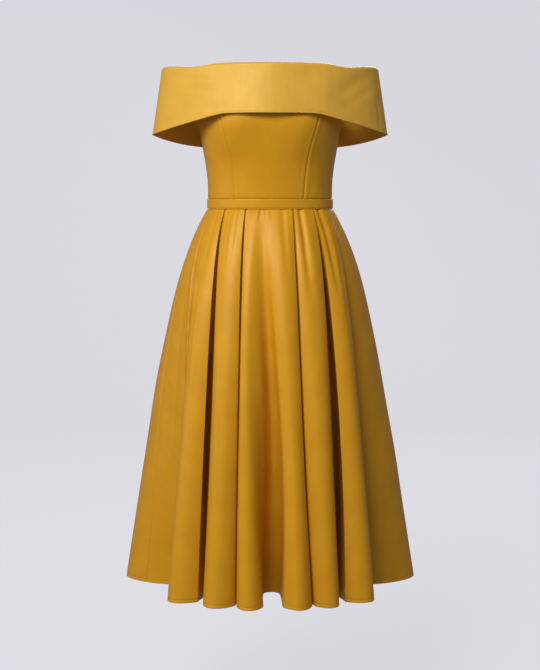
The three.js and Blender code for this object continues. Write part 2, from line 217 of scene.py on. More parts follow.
def make_satin(name, colours):
    material, tree = new_material(name)
    cloth = add_node(tree, "UVMap", {"uv_map": "cloth"})
    cloud = noise(tree, cloth, 1 / CLOUD_SIZE, 2)
    floats = noise(tree, counted(tree, cloth, FLOAT_SPACING, FLOAT_LENGTH), 1, 1)
    streaks = noise(tree, counted(tree, cloth, STREAK_SPACING, STREAK_LENGTH), 1, 3)
    dents = noise(tree, counted(tree, cloth, DENT_WIDE, DENT_LONG), 1, 1.5)
    weave = bump(tree, floats, 0.2, FLOAT_RELIEF)
    grain = bump(tree, streaks, 0.1, STREAK_RELIEF, weave)
    hang = bump(tree, dents, 0.35, DENT_RELIEF, grain)
    rough = add_node(tree, "MapRange", STREAK_ROUGHNESS, {"Value": streaks}, "Result")
    shine = {"IOR": 1.5, "Specular Tint": linear(SATIN_GLOSS)}
    sheen = {"Sheen Weight": 0.03, "Sheen Roughness": 0.4, "Sheen Tint": linear(SATIN_SHEEN)}
    tone = blend(tree, cloud, colours)
    surface(tree, {**shine, **sheen}, {"Base Color": tone, "Roughness": rough, "Normal": hang})
    return material


satin = make_satin("duchess_satin_woven", SATIN)
# the collar's copy of the satin, lighter and paler: painted sheen
collar_satin_painted_sheen = make_satin("duchess_satin_painted_collar_sheen", COLLAR_SATIN_PAINTED_SHEEN)
print("made", satin.name, collar_satin_painted_sheen.name)

# %% [markdown]
# ## Thread, zip tape and coil
# The hem is sewn with matching polyester thread, a little darker than the cloth because it is twisted. The
# zip is a plain woven tape with a moulded nylon coil, both dyed to match.

# %% Thread, tape and coil
TWIST_PITCH = 0.6 * MM
TAPE_RIB = 0.8 * MM
TAPE_RELIEF = 0.2 * MM
NYLON_HAZE = 2.5 * MM


def make_speckled(name, colours, speck, look):
    """A plain material in two close colours. speck is the size of its faint specks, in metres."""
    material, tree = new_material(name)
    place = add_node(tree, "TexCoord", out="Object")
    tone = blend(tree, noise(tree, place, 1 / speck, 2), colours)
    surface(tree, look, {"Base Color": tone})
    return material


def make_tape():
    material, tree = new_material("polyester_tape_woven")
    cloth = add_node(tree, "UVMap", {"uv_map": "cloth"})
    twill = {"bands_direction": "DIAGONAL", "Scale": 0.35, "Distortion": 1.0}
    ribs = add_node(tree, "TexWave", twill, {"Vector": counted(tree, cloth, TAPE_RIB, TAPE_RIB)}, "Fac")
    links = {"Base Color": blend(tree, ribs, TAPE), "Normal": bump(tree, ribs, 0.3, TAPE_RELIEF)}
    surface(tree, {"IOR": 1.5, "Roughness": 0.7}, links)
    return material


thread = make_speckled("polyester_thread_twisted", THREAD, TWIST_PITCH, {"IOR": 1.5, "Roughness": 0.55})
coil_nylon = make_speckled("nylon_coil_moulded", COIL_NYLON, NYLON_HAZE, {"IOR": 1.53, "Roughness": 0.35})
tape_weave = make_tape()
print("made", thread.name, tape_weave.name, coil_nylon.name)

# %% [markdown]
# ## Rings
# Every level of a dress is a rounded ring: wider than it is deep, a little squarer than an ellipse, and not
# quite as deep behind as in front. A superellipse with its own front and back depth gives that with four
# numbers. A ring can be asked for a point at a turn, or for its distance from the axis at an angle.

# %% Rings
RING_KEYS = ("half", "front", "back", "square")


def ring_point(ring, turn, inset=0.0):
    """Points of the ring at turn, in degrees from the centre front, moved in by inset."""
    side = np.sin(np.radians(turn))
    ahead = np.cos(np.radians(turn)) >= 0
    depth = np.where(ahead, ring["front"], ring["back"]) - inset
    reach = depth * np.maximum(1 - np.abs(side) ** ring["square"], 0) ** (1 / ring["square"])
    return (ring["half"] - inset) * side, np.where(ahead, -reach, reach)


def ring_radius(ring, angle):
    """The ring's distance from the axis at a polar angle, in degrees from the centre front."""
    side = np.abs(np.sin(np.radians(angle)))
    along = np.cos(np.radians(angle))
    depth = np.where(along >= 0, ring["front"], ring["back"])
    total = (side / ring["half"]) ** ring["square"] + (np.abs(along) / depth) ** ring["square"]
    return total ** (-1 / ring["square"])


def ring_between(start, end, share):
    return {key: mix(start[key], end[key], share) for key in RING_KEYS}


def column(sections, key, z):
    """One column of a table of sections, read at height z on a smooth curve through its rows."""
    heights = [row["z"] for row in sections]
    values = [row[key] for row in sections]
    slopes = np.gradient(values, heights)
    k = np.clip(np.searchsorted(heights, z, side="right") - 1, 0, len(sections) - 2)
    low, high = np.take(heights, k), np.take(heights, k + 1)
    step = high - low
    t = np.clip((z - low) / step, 0, 1)
    values, slopes = np.array([values, slopes])[:, [k, k + 1]]
    start = (2 * t**3 - 3 * t**2 + 1) * values[0] + (t**3 - 2 * t**2 + t) * step * slopes[0]
    end = (3 * t**2 - 2 * t**3) * values[1] + (t**3 - t**2) * step * slopes[1]
    return start + end


print("rings ready")

# %% [markdown]
# ## A shell of cloth from two grids
# Each sewn piece has one grid of points for its outer face and one, a little further in, for its inner
# face. The two are closed round all four edges, which gives the cloth a real thickness. The UV map holds
# the distance along the cloth both ways, which is what the weave follows.

# %% Cloth shell
CREASE_ANGLE = 50  # degrees; a sharper edge than this stays sharp


def run_along(points, axis):
    """The distance travelled along one axis of a grid of points."""
    steps = np.linalg.norm(np.diff(points, axis=axis), axis=2)
    start = np.zeros_like(np.take(steps, [0], axis=axis))
    return np.cumsum(np.concatenate([start, steps], axis=axis), axis=axis)


def cloth_uv(outer):
    across = run_along(outer, 0)
    middle = across[len(across) // 2]
    return np.stack([across - middle, run_along(outer, 1)], axis=2) * MM


def shell_faces(columns, rows):
    i, j = np.meshgrid(np.arange(columns - 1), np.arange(rows - 1), indexing="ij")
    a = (i * rows + j).ravel()
    b, c, d = a + rows, a + rows + 1, a + 1
    depth = columns * rows
    outside = np.stack([a, b, c, d], axis=1)
    inside = np.stack([a, d, c, b], axis=1) + depth
    foot = np.arange(columns - 1) * rows
    crown = foot + rows - 1
    side = np.arange(rows - 1)
    far = side + (columns - 1) * rows
    edges = [(foot, foot + rows), (crown + rows, crown), (side + 1, side), (far, far + 1)]
    rims = [np.stack([p, p + depth, q + depth, q], axis=1) for p, q in edges]
    return np.concatenate([outside, inside, *rims])


def points_outwards(outer):
    """Whether the grid's own winding faces away from the dress's axis."""
    i, j = outer.shape[0] // 2, outer.shape[1] // 2
    across = outer[i + 1, j] - outer[i, j]
    along = outer[i, j + 1] - outer[i, j]
    return np.dot(np.cross(across, along)[:2], outer[i, j][:2]) > 0


def new_piece(name, corners, faces, material):
    """A piece from its corners, in millimetres, and its faces. It is left selected and active."""
    mesh = bpy.data.meshes.new(name)
    mesh.from_pydata((corners * MM).tolist(), [], faces)
    mesh.materials.append(material)
    piece = bpy.data.objects.new(name, mesh)
    bpy.context.scene.collection.objects.link(piece)
    bpy.ops.object.select_all(action="DESELECT")
    piece.select_set(True)
    bpy.context.view_layer.objects.active = piece
    return piece


def make_shell(name, outer, inner, material):
    """A closed thin shell with a UV map of the cloth."""
    if not points_outwards(outer):
        outer, inner = outer[::-1], inner[::-1]
    corners = np.concatenate([outer.reshape(-1, 3), inner.reshape(-1, 3)])
    faces = shell_faces(*outer.shape[:2])
    piece = new_piece(name, corners, faces.tolist(), material)
    uv = np.concatenate([cloth_uv(outer).reshape(-1, 2)] * 2)
    layer = piece.data.uv_layers.new(name="cloth")
    layer.data.foreach_set("uv", uv[faces.ravel()].ravel())
    bpy.ops.object.shade_smooth_by_angle(angle=math.radians(CREASE_ANGLE))
    return piece


def stand_for(piece, node):
    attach(piece, "root")
    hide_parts(node)


panels = {}


def sew(node, outer, inner, material):
    """Makes the cloth that stands for a node."""
    panels[node] = make_shell(node + "_satin", outer, inner, material)
    stand_for(panels[node], node)


print("shell maker ready")

# %% [markdown]
# ## The skirt's rings and pleats
# Each pleat is a valley: a narrow slot whose two walls go in to a rounded floor. Between two valleys the
# cloth bulges out in a fold, like a tube. A valley swings from its angle at the waist to its angle at the
# hem, so the folds lean outwards. The angles come from where each fold is seen.

# %% Skirt sizes
BAND_HEIGHT = 18.6
SEAM = 0.3
STITCHED = 0.04  # a sewn seam is closed, so no light comes through it
SKIRT_TOP = -BAND_HEIGHT / 2 - SEAM
HEM = -740
WAIST_RING = {"half": 122, "front": 93.7, "back": 87.7, "square": 2.2}
HEM_RING = {"half": 288.5, "front": 246, "back": 240, "square": 2}
FLARE_STRAIGHT = 0.7  # share of the flare that widens evenly; the rest springs out below the waist
FLARE_SPRING = 6.5
STEADY = 0.2  # share of a pleat's swing that is even on the way down
ROUND = 0.8  # how deep a fold curves back, as a share of half its width
ROUND_GROWS = 0.7
KEEL = 1.5  # the power of the curve of a fold's side: low is a keel, high is a round nose
NOSE = 2.1
# The two sides that the centre pleat lies between slope otherwise: their power and how much deeper they end
SOFT_SIDES = {(3, "left"): (2.4, 1.25), (4, "right"): (1.8, 1.0)}
VALLEY_START = 0.4
SLOT_START = 2.6

# waist and hem are a valley's angles, bow moves it between them and quick is how soon it swings. depth is
# what it has at the hem, and grow is the power it grows with. mid_gap and hem_gap are the slot's widths, and
# floor is its floor's share of them. lean turns the floor aside. open_right and open_left widen the mouth.
PLEAT = {"quick": 5, "bow": 0, "grow": 0.55, "floor": 1, "round": 1}
PLEAT = {**PLEAT, "open_right": 0, "open_left": 0, "lean": 0, "hem_lean": 0}
HIP = {**PLEAT, "grow": 1.6, "mid_gap": 8, "hem_gap": 8}
BACK = {**PLEAT, "depth": 98, "mid_gap": 8, "hem_gap": 6}
BACK_MIDDLE = {**PLEAT, "depth": 92, "mid_gap": 5, "hem_gap": 4}
OPEN = {**PLEAT, "quick": 1.5, "grow": 1.25, "floor": 0.45, "open_right": 1, "open_left": 1.4}
DEEP_RIGHT = {**PLEAT, "depth": 104, "mid_gap": 13, "hem_gap": 12.5, "lean": -11.5, "hem_lean": -5}
DEEP_LEFT = {**PLEAT, "depth": 108, "mid_gap": 14.5, "hem_gap": 19, "lean": 13, "hem_lean": 5}
VALLEYS = [
    {**HIP, "waist": -71, "hem": -52.5, "depth": 108, "grow": 1.9, "open_right": 18, "round": 0},
    {**DEEP_RIGHT, "waist": -50.4, "hem": -34.6, "bow": 0.3},
    {**PLEAT, "waist": -27.6, "hem": -16.5, "bow": -0.2, "depth": 96, "mid_gap": 4.4, "hem_gap": 5.5},
    {**OPEN, "waist": -9.5, "hem": 1.2, "bow": 0.5, "depth": 128, "mid_gap": 46, "hem_gap": 28, "lean": 3},
    {**PLEAT, "waist": 26, "hem": 20.9, "bow": -2, "quick": 14, "depth": 98, "mid_gap": 4.2, "hem_gap": 4},
    {**DEEP_LEFT, "waist": 48.2, "hem": 35.2, "bow": 1.6},
    {**HIP, "waist": 70, "hem": 53.3, "depth": 108, "grow": 1.1, "open_left": 17},
    {**HIP, "waist": 111, "hem": 129, "depth": 100, "open_right": 18, "round": 0},
    {**BACK, "waist": 130, "hem": 147},
    {**BACK_MIDDLE, "waist": 155, "hem": 165.5, "bow": 1},
    {**BACK_MIDDLE, "waist": 205, "hem": 196, "bow": -1},
    {**BACK, "waist": 230, "hem": 212},
    {**HIP, "waist": 249, "hem": 231, "depth": 100, "open_left": 18},
]
# The fold that each side or back seam runs down, and how far across the fold it is at the waist and the hem
SKIRT_SEAMS = {0: ("right", 0.3, 0.62), 7: ("left", 0, 0.2), 10: ("back", 0, 0)}
print(len(VALLEYS), "pleats, skirt", round(SKIRT_TOP - HEM), "mm long")


# %% Skirt curves
def skirt_ring(share):
    spring = (1 - FLARE_STRAIGHT) * (1 - math.exp(-FLARE_SPRING * share))
    return ring_between(WAIST_RING, HEM_RING, FLARE_STRAIGHT * share + spring)


def swing(share, quick):
    return STEADY * share + (1 - STEADY) * (1 - math.exp(-quick * share)) / (1 - math.exp(-quick))


def valley_depth(valley, share):
    return VALLEY_START + (valley["depth"] - VALLEY_START) * share ** valley["grow"]


def slot_width(valley, share):
    middle = 4 * share * (1 - share) * valley["mid_gap"]
    return SLOT_START * (1 - share) + middle + share * (2 * share - 1) * valley["hem_gap"]


def valley_walls(valley, share):
    """The angles of a valley's walls: right and left at its mouth, then right and left at its floor.

    A valley with a lean runs straight back instead of towards the axis, so its floor lies off to one side.
    """
    middle = mix(valley["waist"], valley["hem"], swing(share, valley["quick"]))
    middle += 4 * share * (1 - share) * valley["bow"]
    radius = ring_radius(skirt_ring(share), middle)
    half = slot_width(valley, share) / 2
    mouth = math.degrees(half / radius)
    half_floor = half * mix(1, valley["floor"], 4 * share * (1 - share))
    floor = math.degrees(half_floor / (radius - valley_depth(valley, share)))
    lean = 4 * share * (1 - share) * valley["lean"] + share * (2 * share - 1) * valley["hem_lean"]
    right = middle - mouth - valley["open_right"] * share
    left = middle + mouth + valley["open_left"] * share
    return right, left, middle + lean - floor, middle + lean + floor


print("mouth of the centre pleat at the hem:", [round(float(a), 1) for a in valley_walls(VALLEYS[3], 1)[:2]])

# %% [markdown]
# ## Fine columns round the skirt
# A column is one line of the cloth from the waist to the hem. Each fold gets enough of them to turn
# smoothly, each wall of a pleat a few more, and each floor a rounded bottom. Small ripples, listed in a
# table, change the depth of the columns: gathers that die out below the waistband, and long soft waves
# where the satin relaxes.

# %% Skirt columns
NOSE_STEPS = 30
WALL_STEPS = 9
FLOOR_STEPS = 8
# Soft troughs in the folds. fold is the fold before the valley of that number, q is where the trough starts
# and q_end where it ends across the fold, from -1 to 1, top and bottom are shares of the skirt's length,
# width is a share of the fold, and deep is in millimetres.
RIPPLES = table(
    "fold q q_end top bottom width deep",
    (2, -0.62, -0.5, 0, 0.14, 0.1, 1.3),
    (2, -0.3, -0.3, 0, 0.18, 0.11, 1.6),
    (2, 0.3, 0.2, 0, 0.15, 0.12, 1.8),
    (3, -0.15, -0.3, 0, 0.16, 0.09, 2.4),
    (3, 0.35, 0.45, 0, 0.14, 0.1, 1.6),
    (3, 0.93, 0.85, 0, 0.24, 0.16, 3.4),
    (4, -0.8, -0.8, 0, 0.1, 0.08, 1.6),
    (4, -0.45, -0.4, 0, 0.13, 0.09, 1.6),
    (4, 0.35, 0.3, 0, 0.2, 0.2, 2.4),
    (4, -0.62, -0.55, 0.06, 1.5, 0.2, 4.5),
    (5, -0.35, -0.2, 0, 0.26, 0.26, 6),
    (6, -0.45, -0.2, 0, 0.26, 0.26, 6),
    (6, 0.3, 0.45, 0.05, 0.45, 0.25, 1.6),
    (1, -0.2, -0.35, 0.1, 0.6, 0.2, 1.2),
    (1, 0.35, 0.1, 0, 0.2, 0.2, 1.6),
    (4, -0.1, 0.1, 0.93, 1, 0.12, 0.9),
    (0, 0.82, 0.86, 0.45, 0.72, 0.09, 2),
    (8, -0.3, 0.1, 0, 0.2, 0.14, 0.9),
    (9, 0.2, 0.1, 0, 0.15, 0.12, 0.8),
    (10, -0.5, -0.6, 0, 0.2, 0.12, 0.9),
    (11, 0, 0.2, 0.02, 0.22, 0.14, 0.8),
    (12, -0.4, -0.2, 0.1, 0.5, 0.2, 1.4),
)
RIM = 0.45  # the cloth beside a trough stands up by this share of its depth
SWAY = 0.9  # millimetres that a fold's nose wanders in and out on its way down


def ripple_depth(fold, q, share):
    deep = np.zeros_like(q)
    for ripple in RIPPLES:
        along = (share - ripple["top"]) / (ripple["bottom"] - ripple["top"])
        if ripple["fold"] != fold or not 0 <= along <= 1:
            continue
        start = 1 if ripple["top"] == 0 else smooth(along / 0.25)
        fade = start * smooth((1 - along) / 0.6)
        off = (q - mix(ripple["q"], ripple["q_end"], along)) / ripple["width"]
        deep += ripple["deep"] * fade * (bell(off) - RIM * bell(off / 2.2))
    return deep


def sway_depth(fold, share):
    window = math.sin(math.pi * min(share * 1.15, 1))
    slow = math.sin(2 * math.pi * (1.6 * share + 0.37 * fold))
    quick = math.sin(2 * math.pi * (3.7 * share + 0.61 * fold))
    return SWAY * window * (slow + 0.4 * quick)


def fold_shares(fold, quick, share):
    """The places of a fold's columns, from -1 to 1. One of them is its seam, if it has one."""
    if fold not in SKIRT_SEAMS:
        return -np.cos(np.linspace(0, math.pi, NOSE_STEPS + 1))
    _, at_waist, at_hem = SKIRT_SEAMS[fold]
    turn = math.acos(-mix(at_waist, at_hem, swing(share, quick)))
    half = NOSE_STEPS // 2
    after = np.linspace(turn, math.pi, NOSE_STEPS - half + 1)[1:]
    return -np.cos(np.concatenate([np.linspace(0, turn, half + 1), after]))


def side_shape(fold, side):
    """The power that one side of a fold's nose curves with, and how much deeper than usual it ends."""
    usual = (mix(KEEL, NOSE, VALLEYS[fold]["round"]), 1.0)
    return SOFT_SIDES.get((fold, side), usual)


def nose_shape(fold, q):
    right_power, right_more = side_shape(fold, "right")
    left_power, left_more = side_shape(fold, "left")
    return np.where(q < 0, right_more * np.abs(q) ** right_power, left_more * np.abs(q) ** left_power)


def fold_drop(width, angle, beside, share):
    """How far a fold curves back at an angle. It is no deeper than the valleys beside it."""
    half_width = math.radians(width) / 2 * ring_radius(skirt_ring(share), angle)
    return np.minimum(ROUND * half_width * share**ROUND_GROWS, ROUND * beside)


def next_drop(fold, share):
    """The depth at which the fold's first column starts."""
    before = VALLEYS[fold - 1]
    start = valley_walls(before, share)[1]
    right = valley_walls(VALLEYS[fold], share)[0]
    if right < start:
        right += 360
    drop = fold_drop(right - start, start, valley_depth(before, share), share)
    return drop * side_shape(fold, "right")[1]


def fold_line(fold, share):
    """Angle and depth of the columns of one fold and of the valley after it, as pairs."""
    before, after = VALLEYS[fold - 1], VALLEYS[fold]
    start = valley_walls(before, share)[1]
    right, left, floor_right, floor_left = valley_walls(after, share)
    shift = 360 if right < start else 0
    q = fold_shares(fold, before["quick"], share)
    angle = mix(start, right + shift, (q + 1) / 2)
    deepest = valley_depth(after, share)
    beside = np.where(q < 0, valley_depth(before, share), deepest)
    depth = fold_drop(right + shift - start, angle, beside, share) * nose_shape(fold, q)
    depth = depth + ripple_depth(fold, q, share) + sway_depth(fold, share) * (1 - q * q)
    rounding = min(slot_width(after, share) / 2, deepest / 2)
    part = -np.cos(np.linspace(0, math.pi, FLOOR_STEPS + 1))
    floor_angle = mix(floor_right, floor_left, (part + 1) / 2) + shift
    floor_depth = deepest - rounding * (1 - np.sqrt(np.maximum(1 - part * part, 0)))
    nose = np.stack([angle, depth], axis=1)
    floor = np.stack([floor_angle, floor_depth], axis=1)
    following = np.array([left + shift, next_drop((fold + 1) % len(VALLEYS), share)])
    inner = np.linspace(0, 1, WALL_STEPS + 1)[1:-1, None]
    return np.concatenate([nose, mix(nose[-1], floor[0], inner), floor, mix(floor[-1], following, inner)])


def seam_columns():
    """The number of the column that each seam of the skirt runs down."""
    per_fold = NOSE_STEPS + 1 + 2 * (WALL_STEPS - 1) + FLOOR_STEPS + 1
    return {name: fold * per_fold + NOSE_STEPS // 2 for fold, (name, _, _) in SKIRT_SEAMS.items()}


print("seam columns:", seam_columns())

# %% [markdown]
# ## Rows down the skirt
# The rows lie close together below the waistband, where the pleats start, and again at the hem. The hem is
# turned up and stitched, so the cloth is double there, a shallow groove shows where the stitches pull it
# in, and the lower edge is rounded.

# %% Skirt rows
CLOTH = 0.9
SOFT_PLEAT = 3
SOFT_REACH = 7.0  # millimetres of cloth that the centre pleat is softened over, half way down
SOFT_REACH_HEM = 5.0
SOFT_STEP = 0.5
HEM_STITCH = 6.0
HEM_TURN = 9.0
HEM_ROUND = 0.9
HEM_GROOVE = 0.45
HEM_DOUBLED = 0.9
HEM_THINS = 1.4
ROWS_DOWN = 84
ROWS_CROWD = 1.6  # how much closer the rows lie below the waistband
HEM_ROWS = (12, 10, 8.8, 8, 7.2, 6.6, 6, 5.4, 4.8, 4, 3, 2, 1.3, 0.8, 0.4, 0.15, 0)
CURL = 1.3  # how far a sewn edge turns in
CURL_WIDE = 1.5


def row_heights():
    """The height of each row above the hem."""
    length = SKIRT_TOP - HEM
    down = (np.linspace(0, 1, ROWS_DOWN) ** ROWS_CROWD) * (length - HEM_ROWS[0] - 6)
    return np.concatenate([length - down, HEM_ROWS])


def hem_inset(above):
    """How far the outer face moves in near the hem, at a height above it."""
    groove = HEM_GROOVE * bell(above - HEM_STITCH)
    past = np.clip((HEM_ROUND - above) / HEM_ROUND, 0, 1)
    return groove + HEM_ROUND * (1 - np.sqrt(1 - past**2))


def hem_cloth(above):
    """The cloth's thickness at a height above the hem."""
    doubled = CLOTH + HEM_DOUBLED * smooth((HEM_TURN - above) / 1.5)
    return doubled - HEM_THINS * smooth((0.5 - above) / 0.5)


def plan_normals(points):
    """Inward normals of a closed loop of plan points."""
    back = unit(points - np.roll(points, 1, axis=0))
    ahead = unit(np.roll(points, -1, axis=0) - points)
    tangent = unit(back + ahead)
    return np.stack([-tangent[:, 1], tangent[:, 0]], axis=1)


def averaged(line, width):
    """A line of even points, each averaged with its neighbours. width counts points."""
    taps = np.arange(-int(3 * width), int(3 * width) + 1)
    weights = np.exp(-0.5 * (taps / width) ** 2)
    weights /= weights.sum()
    beyond = len(taps) // 2
    padded = np.pad(line, ((beyond, beyond), (0, 0)), mode="edge")
    return np.stack([np.convolve(padded[:, k], weights, mode="valid") for k in (0, 1)], axis=1)


def relaxed(plan, share):
    """The row with its centre pleat softened: the slot's corners are averaged along the cloth."""
    per_fold = len(plan) // len(VALLEYS)
    middle = SOFT_PLEAT * per_fold + NOSE_STEPS + WALL_STEPS + FLOOR_STEPS // 2
    near = np.arange(middle - per_fold, middle + per_fold + 1) % len(plan)
    line = plan[near]
    run = run_along(line[:, None], 0)[:, 0]
    even = np.arange(0, run[-1], SOFT_STEP)
    reach = mix(SOFT_REACH, SOFT_REACH_HEM, smooth((share - 0.45) / 0.5)) * smooth(share / 0.05)
    blurred = averaged(read_line(even, run, line), max(reach, 0.5) / SOFT_STEP)
    soft = read_line(run, even, blurred)
    from_core = np.abs(run - run[per_fold]) / (0.5 * run[-1])
    inside = 1 - smooth((from_core - 0.35) / 0.3)
    result = plan.copy()
    result[near] = line + (soft - line) * inside[:, None]
    return result


def skirt_row(share):
    """One closed row of the skirt in plan."""
    angle, depth = np.concatenate([fold_line(fold, share) for fold in range(len(VALLEYS))]).T
    radius = ring_radius(skirt_ring(share), angle) - depth
    plan = np.stack([radius * np.sin(np.radians(angle)), -radius * np.cos(np.radians(angle))], axis=1)
    return relaxed(plan, share)


def whole_skirt():
    """Outer and inner points of the whole skirt, as columns by rows."""
    length = SKIRT_TOP - HEM
    outer, inner = [], []
    for above in row_heights():
        plan = skirt_row(1 - above / length)
        inward = plan_normals(plan)
        below_band = length - above
        face = plan + inward * (hem_inset(above) + CURL * bell(below_band / CURL_WIDE))
        behind = face + inward * hem_cloth(above)
        z = np.full((len(plan), 1), HEM + above)
        outer.append(np.hstack([face, z]))
        inner.append(np.hstack([behind, z]))
    return np.stack(outer, axis=1), np.stack(inner, axis=1)


skirt_outer, skirt_inner = whole_skirt()
print("skirt grid", skirt_outer.shape)

# %% [markdown]
# ## Three skirt panels
# The skirt is sewn from a front and two backs, each cut from the closed rows at its seams. At a seam the
# cloth turns in to the seam allowance, so a few more columns are put in there and curled inwards, which
# leaves the fine dark line of a pressed seam.

# %% Skirt panels
SEAM_COLUMNS = (STITCHED / 2, 0.5, 1.0, 1.6, 2.4, 3.4)


def curl_end(outer, inner):
    """The columns added at the start of a panel, curled in."""
    step = outer[1] - outer[0]
    room = np.linalg.norm(step, axis=1)
    along = step / room[:, None]
    inward = unit(inner[0] - outer[0])
    added = []
    for far in SEAM_COLUMNS:
        reach = np.minimum(far, 0.9 * room * far / SEAM_COLUMNS[-1])[:, None]
        added.append(outer[0] + along * reach + inward * CURL * bell(far / CURL_WIDE))
    return np.stack(added), np.stack([place + inward * CLOTH for place in added])


def cut_panel(outer, inner, start, end):
    """The columns from one seam to the next, with both of its edges curled."""
    count = len(outer)
    picked = (start + np.arange((end - start) % count + 1)) % count
    face, behind = outer[picked], inner[picked]
    first = curl_end(face, behind)
    last = curl_end(face[::-1], behind[::-1])
    faces = np.concatenate([first[0], face[1:-1], last[0][::-1]])
    behinds = np.concatenate([first[1], behind[1:-1], last[1][::-1]])
    return faces, behinds


seams = seam_columns()
SKIRT_PANELS = {
    "skirt_front": ("right", "left"),
    "skirt_back_left": ("left", "back"),
    "skirt_back_right": ("back", "right"),
}
skirt_cuts = {}
for name, (start, end) in SKIRT_PANELS.items():
    outer, inner = cut_panel(skirt_outer, skirt_inner, seams[start], seams[end])
    sew(name, outer, inner, satin)
    widths = run_along(outer, 0)[-1]
    print("  hem", round(float(widths[-1])), "mm, waist", round(float(widths[0])))
    skirt_cuts[name] = outer

# %% [markdown]
# ## Hem stitches
# The hem is held by one row of machine stitches, 6 mm above its edge. Real ones are about 3 mm apart, in
# thread a third of a millimetre thick. One stitch is a small sphere drawn out long, with few faces because
# there are over a thousand of them. It is copied along the groove of each panel, half sunk in.

# %% One stitch
STITCH = {"every": 3.2, "long": 2.4, "thick": 0.4, "slant": 0.07, "ahead": 0.6}

bpy.ops.object.select_all(action="DESELECT")
bpy.ops.mesh.primitive_uv_sphere_add(segments=6, ring_count=5, radius=0.5, location=(0, 0, 0))
one_stitch = bpy.context.object
bpy.ops.object.mode_set(mode="EDIT")
bpy.ops.mesh.select_all(action="SELECT")
bpy.ops.transform.resize(value=(STITCH["thick"], STITCH["thick"], STITCH["long"]))
bpy.ops.object.mode_set(mode="OBJECT")
stitch_points = np.array([list(v.co) for v in one_stitch.data.vertices])
stitch_faces = [list(face.vertices) for face in one_stitch.data.polygons]
bpy.data.objects.remove(one_stitch)
print("one stitch has", len(stitch_faces), "faces")


# %% Rows of stitches
def stitch_places(outer):
    """The middle of each stitch of a panel, the way along the cloth there, and the way out of it."""
    row = int(np.argmin(np.abs(row_heights() - HEM_STITCH)))
    line = outer[:, row]
    run = run_along(line[:, None], 0)[:, 0]
    at = np.arange(STITCH["every"], run[-1] - STITCH["every"] / 2, STITCH["every"])
    middle = read_line(at, run, line)
    ahead = unit(read_line(at + STITCH["ahead"], run, line) - middle)
    out = np.cross(ahead, (0, 0, 1))
    ahead[:, 2] += STITCH["slant"]
    return middle, ahead, out


def make_stitches(name, outer):
    middle, ahead, out = stitch_places(outer)
    along = stitch_points[None, :, 2:] * ahead[:, None]
    proud = stitch_points[None, :, :1] * out[:, None]
    upward = stitch_points[None, :, 1:2] * np.array([0.0, 0.0, 1.0])
    corners = (middle[:, None] + along + proud + upward).reshape(-1, 3)
    first = np.arange(len(middle)) * len(stitch_points)
    faces = [[start + k for k in face] for start in first.tolist() for face in stitch_faces]
    row = new_piece(name, corners, faces, thread)
    bpy.ops.object.mode_set(mode="EDIT")
    bpy.ops.mesh.select_all(action="SELECT")
    bpy.ops.mesh.normals_make_consistent(inside=False)
    bpy.ops.object.mode_set(mode="OBJECT")
    bpy.ops.object.shade_smooth()
    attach(row, "root")
    print(name, "has", len(middle), "stitches")
    return row


stitches = {name: make_stitches(name + "_hem_stitches", outer) for name, outer in skirt_cuts.items()}

# %% [markdown]
# ## Bodice
# The bodice has a front between two princess seams, two sides and two backs. The princess seams carry the
# shaping of the bust, so the front swells softly at each cup. Each panel's edges turn in to its seams, and
# the cloth puckers very slightly beside them.

# %% Bodice sizes
BODICE = table(
    "z half front back square",
    (9.6, 120.3, 92.3, 86.3, 2.2),
    (41, 120.6, 95, 87, 2.2),
    (72, 124, 100, 89, 2.2),
    (108, 130, 108, 93, 2.3),
    (155, 138, 116, 99, 2.3),
    (200, 142, 116, 101, 2.35),
    (260, 150, 111.7, 100.9, 2.25),
)
CUP = {"x": 72, "z": 150, "rise": 9, "wide": 36, "high": 42}
BODICE_TOP = 259.35
UNDERARM = {"z": 185, "start": 100}
TUCK = {"start": 84, "drop": 20}
# How far each princess seam is from the middle, at height z
PRINCESS = table(
    "z right left",
    (9.6, 68, 64),
    (49, 69, 67),
    (80, 73, 71),
    (100, 79, 75),
    (165, 94, 92),
    (200, 96, 94),
    (259, 92, 92),
)
BODICE_CLOTH = 1.1
BODICE_ROWS = 70
PRESSED = {"side": 0.75, "end": 0.8}  # how much of a free curl is left at a pressed seam
RIDGE = {"high": 0.5, "at": 6, "wide": 3}  # the seam allowance's edge, seen through the cloth
PUCKER = {"deep": 0.16, "every": 12.0, "reach": 9.0}


# %% Bodice curves
def bodice_top(turn):
    top = BODICE[-1]["half"]
    out = np.abs(top * np.sin(np.radians(turn)))
    step = TUCK["drop"] * smooth((out - TUCK["start"]) / (UNDERARM["start"] - TUCK["start"]))
    side = smooth((out - UNDERARM["start"]) / (top - UNDERARM["start"]))
    return BODICE_TOP - step - (BODICE_TOP - TUCK["drop"] - UNDERARM["z"]) * side


def princess_turn(side, z):
    turn = np.degrees(np.arcsin(column(PRINCESS, side, z) / column(BODICE, "half", z)))
    return turn if side == "left" else -turn


def bodice_point(turn, z, inset):
    ring = {key: column(BODICE, key, z) for key in RING_KEYS}
    x, y = ring_point(ring, turn, inset)
    away = (np.abs(x) - CUP["x"]) / CUP["wide"]
    cup = CUP["rise"] * bell(away) * bell((z - CUP["z"]) / CUP["high"])
    return np.stack([x, np.where(y < 0, y - cup, y), z], axis=-1)


def bodice_grid(from_turn, to_turn, steps):
    """Turn and height of each point of a panel, between two seams."""
    across = eased(steps + 1)[:, None]
    top_turn = mix(from_turn(BODICE_TOP), to_turn(BODICE_TOP), across)
    up = eased(BODICE_ROWS + 1)[None, :]
    z = mix(BODICE[0]["z"], bodice_top(top_turn), up)
    half_gap = np.degrees(STITCHED / 2 / column(BODICE, "front", z))
    start, end = from_turn(z), to_turn(z)
    return mix(start + half_gap, end - half_gap, across), z


